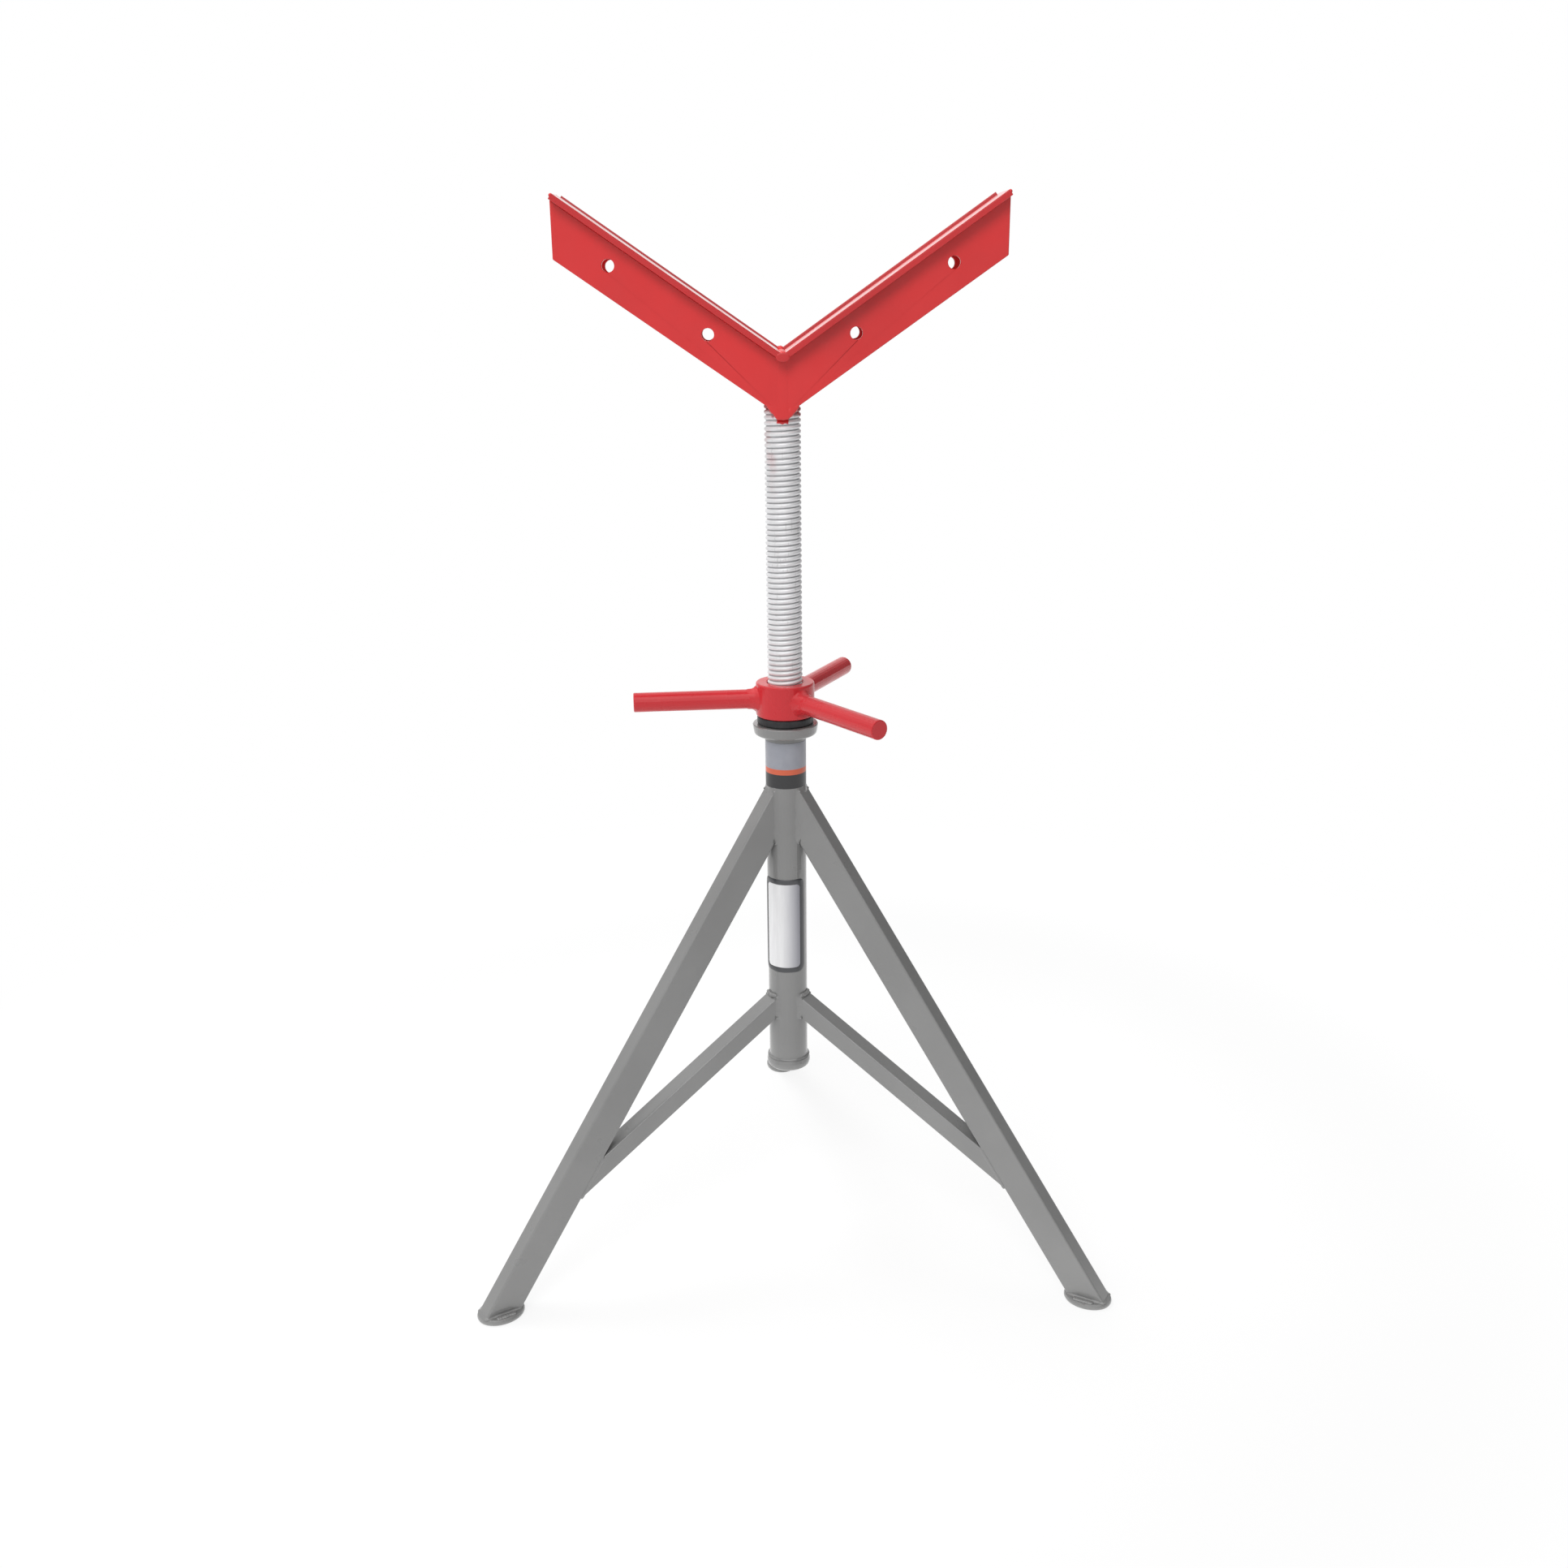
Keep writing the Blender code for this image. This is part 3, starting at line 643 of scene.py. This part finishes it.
def add_thread():
    """The screw with its rolled right-hand thread, from end to end."""
    z_low, z_high = screw_low.z, screw_high.z
    turns = math.ceil((z_high - z_low) / PITCH) + 2
    root = SCREW_RADIUS - THREAD_DEPTH
    columns = []
    for step in range(THREAD_STEPS):
        angle = 2 * math.pi * step / THREAD_STEPS
        lift = PITCH * step / THREAD_STEPS - PITCH
        column = []
        for turn in range(turns):
            for share, height in THREAD_PROFILE:
                z = z_low + lift + PITCH * (turn + share)
                cut = max(0.0, SCREW_CHAMFER - min(z - z_low, z_high - z))
                radius = min(root + THREAD_DEPTH * height, SCREW_RADIUS - cut)
                radius = max(radius, root - CHAMFER_BELOW_ROOT)
                column.append(AXIS + outward(angle) * radius + UP * min(max(z, z_low), z_high))
        columns.append(column)
    rows = len(columns[0])
    faces = []
    for step in range(THREAD_STEPS):
        here = step * rows
        last = step == THREAD_STEPS - 1
        there = 0 if last else here + rows
        shift = len(THREAD_PROFILE) if last else 0
        for row in range(rows - 1 - shift):
            faces.append((here + row, there + row + shift, there + row + shift + 1, here + row + 1))
    mesh = mesh_from([point for column in columns for point in column], faces, 0.00001, True)
    screw = add_piece("threaded_screw", mesh, zinc, "head", 50.0)
    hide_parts("lift_screw")


def add_stand_weld(name, mesh):
    add_piece(name, mesh, grey, "stand")


def add_leg_welds(label, degrees):
    """A leg's fillets at the column and on its foot pad, and the short beads beside it on the pad."""
    leg = Slope(math.radians(degrees), LEG_ANGLE, LEG_HEIGHT_AT_AXIS)
    tube = Tube(LEG_DEPTH, LEG_CORNER)
    add_stand_weld("weld_leg_top_" + label, leg.column_fillet(tube, LEG_FILLET, seed=degrees))
    pad = UP * FOOT_TOP
    foot = [leg.on_plane(p.x, p.y, pad, UP) for p in tube.points]
    mesh = fillet_mesh(foot, [UP] * len(foot), leg.facing(tube), FOOT_FILLET, seed=degrees + 7.0)
    add_stand_weld("weld_foot_" + label, mesh)
    for index, side in enumerate((-1.0, 1.0)):
        near = side * (TUBE_WIDTH / 2 + PAD_BEAD_GAP)
        outer = 0.26 if (leg.level * side).y < -0.1 else -0.02
        ends = [leg.on_plane(near, y * LEG_DEPTH, pad, UP) for y in (-0.28, outer)]
        mesh = bead_mesh(ends, PAD_BEAD, False, UP, flat=1.9, seed=degrees + 3.0 * index, spacing=0.0006)
        add_stand_weld("weld_pad_%s_%d" % (label, index), mesh)


def add_brace_welds(label, degrees):
    """A brace's fillet and lump at the column, and its seam and end bead under the leg."""
    leg = Slope(math.radians(degrees), LEG_ANGLE, LEG_HEIGHT_AT_AXIS)
    brace = Slope(math.radians(degrees), BRACE_ANGLE, BRACE_HEIGHT_AT_AXIS)
    tube = Tube(BRACE_DEPTH, BRACE_CORNER)
    mesh = brace.column_fillet(tube, BRACE_FILLET, ripple=0.16, seed=degrees + 11.0)
    add_stand_weld("weld_brace_top_" + label, mesh)
    height = BRACE_DEPTH / 2 + LUMP_OVER_BRACE
    over = [brace.on_column(x * TUBE_WIDTH, height, COLUMN_RADIUS + LUMP_OFF_COLUMN)
            for x in (-0.46, -0.2, 0.1, 0.46)]
    mesh = bead_mesh(over, BRACE_LUMP, False, UP, ripple=0.24, seed=degrees + 13.0, spacing=0.0006)
    add_stand_weld("weld_brace_lump_" + label, mesh)
    under = leg.at(0.0, -LEG_DEPTH / 2, 0.0)
    seam = [brace.on_plane(p.x, p.y, under, leg.upper) for p in tube.points]
    mesh = bead_mesh(seam, BRACE_SEAM, flat=3.4, seed=degrees + 17.0)
    add_stand_weld("weld_brace_foot_" + label, mesh)
    ends = [brace.on_plane(x * TUBE_WIDTH, -BRACE_DEPTH / 2, under, leg.upper) for x in (-0.38, 0.38)]
    mesh = bead_mesh(ends, BRACE_END_BEAD, False, UP, ripple=0.12, seed=degrees + 19.0)
    add_stand_weld("weld_brace_end_" + label, mesh)


def circle_path(radius, height, steps=96):
    return [AXIS + outward(2 * math.pi * i / steps) * radius + UP * height for i in range(steps)]


def add_column_welds():
    """The bead under the collar and the fillet on the bottom cap's rim."""
    under_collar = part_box("top_collar")[0].z
    mesh = bead_mesh(circle_path(COLUMN_RADIUS + SEAT_GAP, under_collar), COLLAR_BEAD, ripple=0.03)
    add_stand_weld("weld_collar", mesh)
    cap_low, cap_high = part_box("bottom_cap")
    path = circle_path(COLUMN_RADIUS, cap_high.z)
    width = (cap_high.x - cap_low.x) / 2 - COLUMN_RADIUS - 2 * SEAT_GAP
    mesh = fillet_mesh(path, [radial(p) for p in path], [UP] * len(path), width, ripple=0.0, seed=31.0)
    add_stand_weld("weld_cap", mesh)


def add_handle_flares():
    """Fillet welds that spread from each handle onto the nut."""
    sides = 40
    for index, label in enumerate(("left", "front", "rear")):
        out = outward(math.pi + HANDLE_TURN + 2 * math.pi * index / 3)
        level = UP.cross(out)
        rings = []
        for rise, flare in HANDLE_FLARE:
            ring = []
            for i in range(sides):
                angle = 2 * math.pi * i / sides
                reach = HANDLE_RADIUS + flare
                side = reach * math.cos(angle)
                base = math.sqrt(HUB_RADIUS ** 2 - side ** 2)
                point = (AXIS + UP * HANDLE_HEIGHT + out * (base + rise) + level * side
                         + UP * (reach * math.sin(angle)))
                if 0.0 <= rise < 0.012:
                    spreading = level * math.cos(angle) + UP * math.sin(angle)
                    point += (spreading + out * 0.5) * (FLARE_LUMPS * lump_at(point, 190.0, index * 3.1))
                ring.append(point)
            rings.append(ring)
        add_piece("weld_handle_" + label, loft(rings), nut_red, "nut")


def drawn_plate(outline, profile):
    """A star-shaped outline in x and z, lofted through (y, inset) steps from its back to its face."""
    centre = sum(outline, Vector((0.0, 0.0))) / len(outline)
    rings = []
    for y, inset in profile:
        ring = []
        for p in outline:
            out = p - centre
            near = centre + out * max(0.0, 1.0 - inset / out.length)
            ring.append(Vector((near.x, y, HEAD_POINT + near.y)))
        rings.append(ring)
    return loft(rings)


def add_head_welds():
    """Paint-filled welds at the V's point, over its front and rear seams, and where its plates meet."""
    for label, side in (("front", -1.0), ("rear", 1.0)):
        face = AXIS_Y + side * (AXIS_Y - WEB_FRONT)
        outline = [Vector((x / 1000.0, z / 1000.0)) for x, z in POINT_OUTLINE]
        dense = resample(outline, 0.0011, True)[0]
        for p in dense:
            p *= 1.0 + 0.09 * noise.noise(Vector((p.x, side, p.y)) * 420.0)
        steps = [(face + side * rise, inset) for rise, inset in POINT_PROFILE]
        steps.insert(0, (AXIS_Y + side * POINT_BACK, 0.0))
        add_piece("weld_point_" + label, drawn_plate(dense, steps), red, "head", 60.0)
        seam = [Vector((0.0, face, z)) for z in (HEAD_POINT + 0.004, CROTCH_UNDER - 0.001)]
        mesh = bead_mesh(seam, HEAD_SEAM, False, ACROSS, flat=0.018, ripple=0.0, seed=9.0, spacing=0.002,
                         sides=24)
        add_piece("weld_seam_" + label, mesh, red, "head")
        end = plate_low.y if side < 0 else plate_high.y
        middle = CROTCH_UNDER + CORNER_WELD_RISE - HEAD_POINT
        turns = [math.pi * i / 20 for i in range(40)]
        outline = [Vector((CORNER_WELD_WIDTH / 2 * math.cos(turn),
                           middle + CORNER_WELD_HEIGHT / 2 * math.sin(turn))) for turn in turns]
        steps = [(end + side * rise, inset) for rise, inset in CORNER_PROFILE]
        add_piece("weld_plates_" + label, drawn_plate(outline, steps), flat_red, "head", 60.0)
    valley = [Vector((0.0, y, CROTCH_TOP + 0.0008)) for y in (plate_low.y + 0.0005, plate_high.y - 0.0005)]
    mesh = bead_mesh(valley, VALLEY_BEAD, False, ACROSS, flat=0.7, ripple=0.12, seed=4.0)
    add_piece("weld_valley", mesh, red, "head")
    lump = [Vector((x, plate_high.y - 0.002, CROTCH_TOP + 0.0036)) for x in (-0.0060, 0.0040)]
    mesh = bead_mesh(lump, VALLEY_END_BEAD, False, BACK, seed=2.0)
    add_piece("weld_valley_end", mesh, red, "head")


class PlateTop:
    """The top of a bearing plate, from the valley between the two plates to its tip."""

    def __init__(self, side):
        self.along = Vector((side * math.cos(ARM_ANGLE), 0.0, math.sin(ARM_ANGLE)))
        self.normal = Vector((-side * math.sin(ARM_ANGLE), 0.0, math.cos(ARM_ANGLE)))
        self.valley = Vector((0.0, 0.0, CROTCH_TOP))
        self.tip = Vector((side * (plate_high.x - PLATE_THICKNESS * math.sin(ARM_ANGLE)), 0.0, plate_high.z))
        self.length = (self.tip - self.valley).length

    def sweep(self, section, end_gap, count=60):
        """A section of (y, height) steps, carried along the plate and mitred in the valley."""
        rings = []
        for i in range(count + 1):
            ring = []
            for y, up in section:
                mitre = up * math.tan(ARM_ANGLE)
                run = mitre + (self.length - end_gap - mitre) * i / count
                point = self.valley + self.along * run + self.normal * up
                point.y = y
                ring.append(point)
            rings.append(ring)
        return loft(rings)


def add_plate_trim():
    """The thin strip along each plate's far edge, the crown on its top and the lump at its near tip."""
    back = plate_high.y - LIP_WIDTH
    lip = [(back - 0.0001 + across, up) for across, up in (
        (0.0, -0.0004), (0.0, LIP_HEIGHT - 0.0009), (0.0003, LIP_HEIGHT - 0.0003), (0.0009, LIP_HEIGHT),
        (LIP_WIDTH - 0.0009, LIP_HEIGHT), (LIP_WIDTH - 0.0003, LIP_HEIGHT - 0.0003),
        (LIP_WIDTH, LIP_HEIGHT - 0.0009), (LIP_WIDTH, -0.0004))]
    near, far = plate_low.y + 0.0001, back - 0.0003
    for label, side in (("left", -1.0), ("right", 1.0)):
        top = PlateTop(side)
        add_piece("edge_lip_" + label, top.sweep(lip, 0.0004), shaded_lip_red, "head", 60.0)
        crown = ((near, -0.0004), (near + 0.0002, 0.0002), ((near + far) / 2, CROWN_HEIGHT[label]),
                 (far, 0.0002), (far, -0.0004))
        add_piece("plate_crown_" + label, top.sweep(crown, 0.0006), crown_red, "head", 20.0)
        corner = top.tip - top.normal * 0.0016
        ends = [Vector((corner.x, plate_low.y + step, corner.z)) for step in (-0.0002, 0.0060)]
        mesh = bead_mesh(ends, TIP_BEAD, False, top.normal, seed=5.0 * side, spacing=0.0004)
        add_piece("tip_lump_" + label, mesh, red, "head")


def patch(name, start, end, z_low, z_high, corner, lift, material):
    """A rounded rectangle bent round the column between two headings, standing a little proud."""
    half_width = (end - start) * COLUMN_RADIUS / 2
    half_height = (z_high - z_low) / 2
    places = {half_width * (2 * i / 60 - 1) for i in range(61)}
    for i in range(1, 8):
        bow = corner * (1 - math.cos(math.pi / 2 * i / 8))
        places |= {half_width - bow, bow - half_width}
    middle = AXIS + UP * ((z_low + z_high) / 2)
    rings = []
    for x in sorted(places):
        into = max(0.0, abs(x) - (half_width - corner))
        reach = half_height - corner + math.sqrt(max(corner ** 2 - into ** 2, 0.0)) + 0.0001
        out = outward((start + end) / 2 + x / COLUMN_RADIUS)
        edge = min(0.0003, reach / 3)
        levels = [(-0.0004, reach), (lift * 0.4, reach), (lift, reach - edge), (lift, edge - reach),
                  (lift * 0.4, -reach), (-0.0004, -reach)]
        rings.append([middle + out * (COLUMN_RADIUS + rise) + UP * level for rise, level in levels])
    add_piece(name, loft(rings), material, "stand", 30.0)


def add_badge():
    """A plain silver badge in a raised dark frame, bent round the column."""
    middle_z = (BADGE_LOW + BADGE_HIGH) / 2
    middle = math.radians(sum(BADGE_SIDES) / 2)
    half_turn = math.radians(BADGE_SIDES[1] - BADGE_SIDES[0]) / 2
    half_width, half_height = half_turn * COLUMN_RADIUS, (BADGE_HIGH - BADGE_LOW) / 2 - BADGE_INSET

    def dense(points):
        """The outline with its long straight sides cut up, so that they can bend."""
        cut = []
        for a, b in zip(points, points[1:] + points[:1]):
            count = 16 if (b - a).length > 0.02 else 1
            cut += [a.lerp(b, i / count) for i in range(count)]
        return cut

    def bent(point, rise):
        out = outward(middle + point.x / COLUMN_RADIUS)
        return AXIS + out * (COLUMN_RADIUS + rise) + UP * (middle_z + point.y)

    inside = dense(rounded_outline(half_width, half_height, BADGE_CORNER, 8))
    outside = dense(rounded_outline(half_width + BADGE_FRAME_WIDTH, half_height + BADGE_FRAME_HEIGHT,
                                    BADGE_FRAME_CORNER, 8))
    rings = [[bent(a.lerp(b, share), rise) for share, rise in BADGE_FRAME_PROFILE]
             for a, b in zip(inside, outside)]
    dark = film("badge frame", (0.055, 0.057, 0.062), 0.3)
    add_piece("badge_frame", loft(rings, True), dark, "stand", 50.0)
    patch("badge_face", middle - half_turn, middle + half_turn, middle_z - half_height,
          middle_z + half_height, 0.0050, 0.0005, shaded_badge_foil())


def add_label():
    start, end = (math.radians(side) for side in LABEL_SIDES)
    patch("label_wrap", start, end, LABEL_LOW, LABEL_HIGH, 0.001, 0.0003, label_wrap())


add_camera()
add_world()
add_floor()
add_lamp("key", (-1.45, -4.5, 4.6), size=3.0, power=135.0)
add_lamp("top", (-1.3, 1.0, 3.3), size=1.4, power=34.0)

grey = paint("grey enamel", (0.210, 0.210, 0.208), roughness=0.32, coat=0.95)
red = paint("red enamel", (0.71, 0.030, 0.032), roughness=0.34, coat=0.3)
flat_red = paint("red enamel on plates", (0.60, 0.030, 0.034), roughness=0.30, coat=0.15, mottle=0.04,
                 uneven=0.0)
# The lips' red is darker than the plates' red: painted shade.
shaded_lip_red = paint("red enamel darkened as painted shade on lips", (0.48, 0.032, 0.036), roughness=0.25, coat=0.4, uneven=0.0)
crown_red = paint("polished red enamel", (0.70, 0.034, 0.036), roughness=0.14, coat=0.3, mottle=0.03,
                  uneven=0.0)
nut_red = paint("red enamel on nut", (0.58, 0.024, 0.032), roughness=0.28, coat=0.35, mottle=0.03,
                uneven=0.2, specular=0.25)
zinc = zinc_thread()
looks = {"thrust_washer": black_oxide(), "lift_screw": zinc, "bearing_": flat_red, "web_": red,
         "nut_": nut_red, "handle_": nut_red}

for name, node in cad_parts.items():
    look = next((look for start, look in looks.items() if name.startswith(start)), grey)
    node.data.materials.clear()
    node.data.materials.append(look)

add_thread()
for label, degrees in LEG_HEADINGS.items():
    add_leg_welds(label, degrees)
    add_brace_welds(label, degrees)
add_column_welds()
add_handle_flares()
add_head_welds()
add_plate_trim()
add_badge()
add_label()

bpy.context.scene.view_settings.view_transform = "Standard"
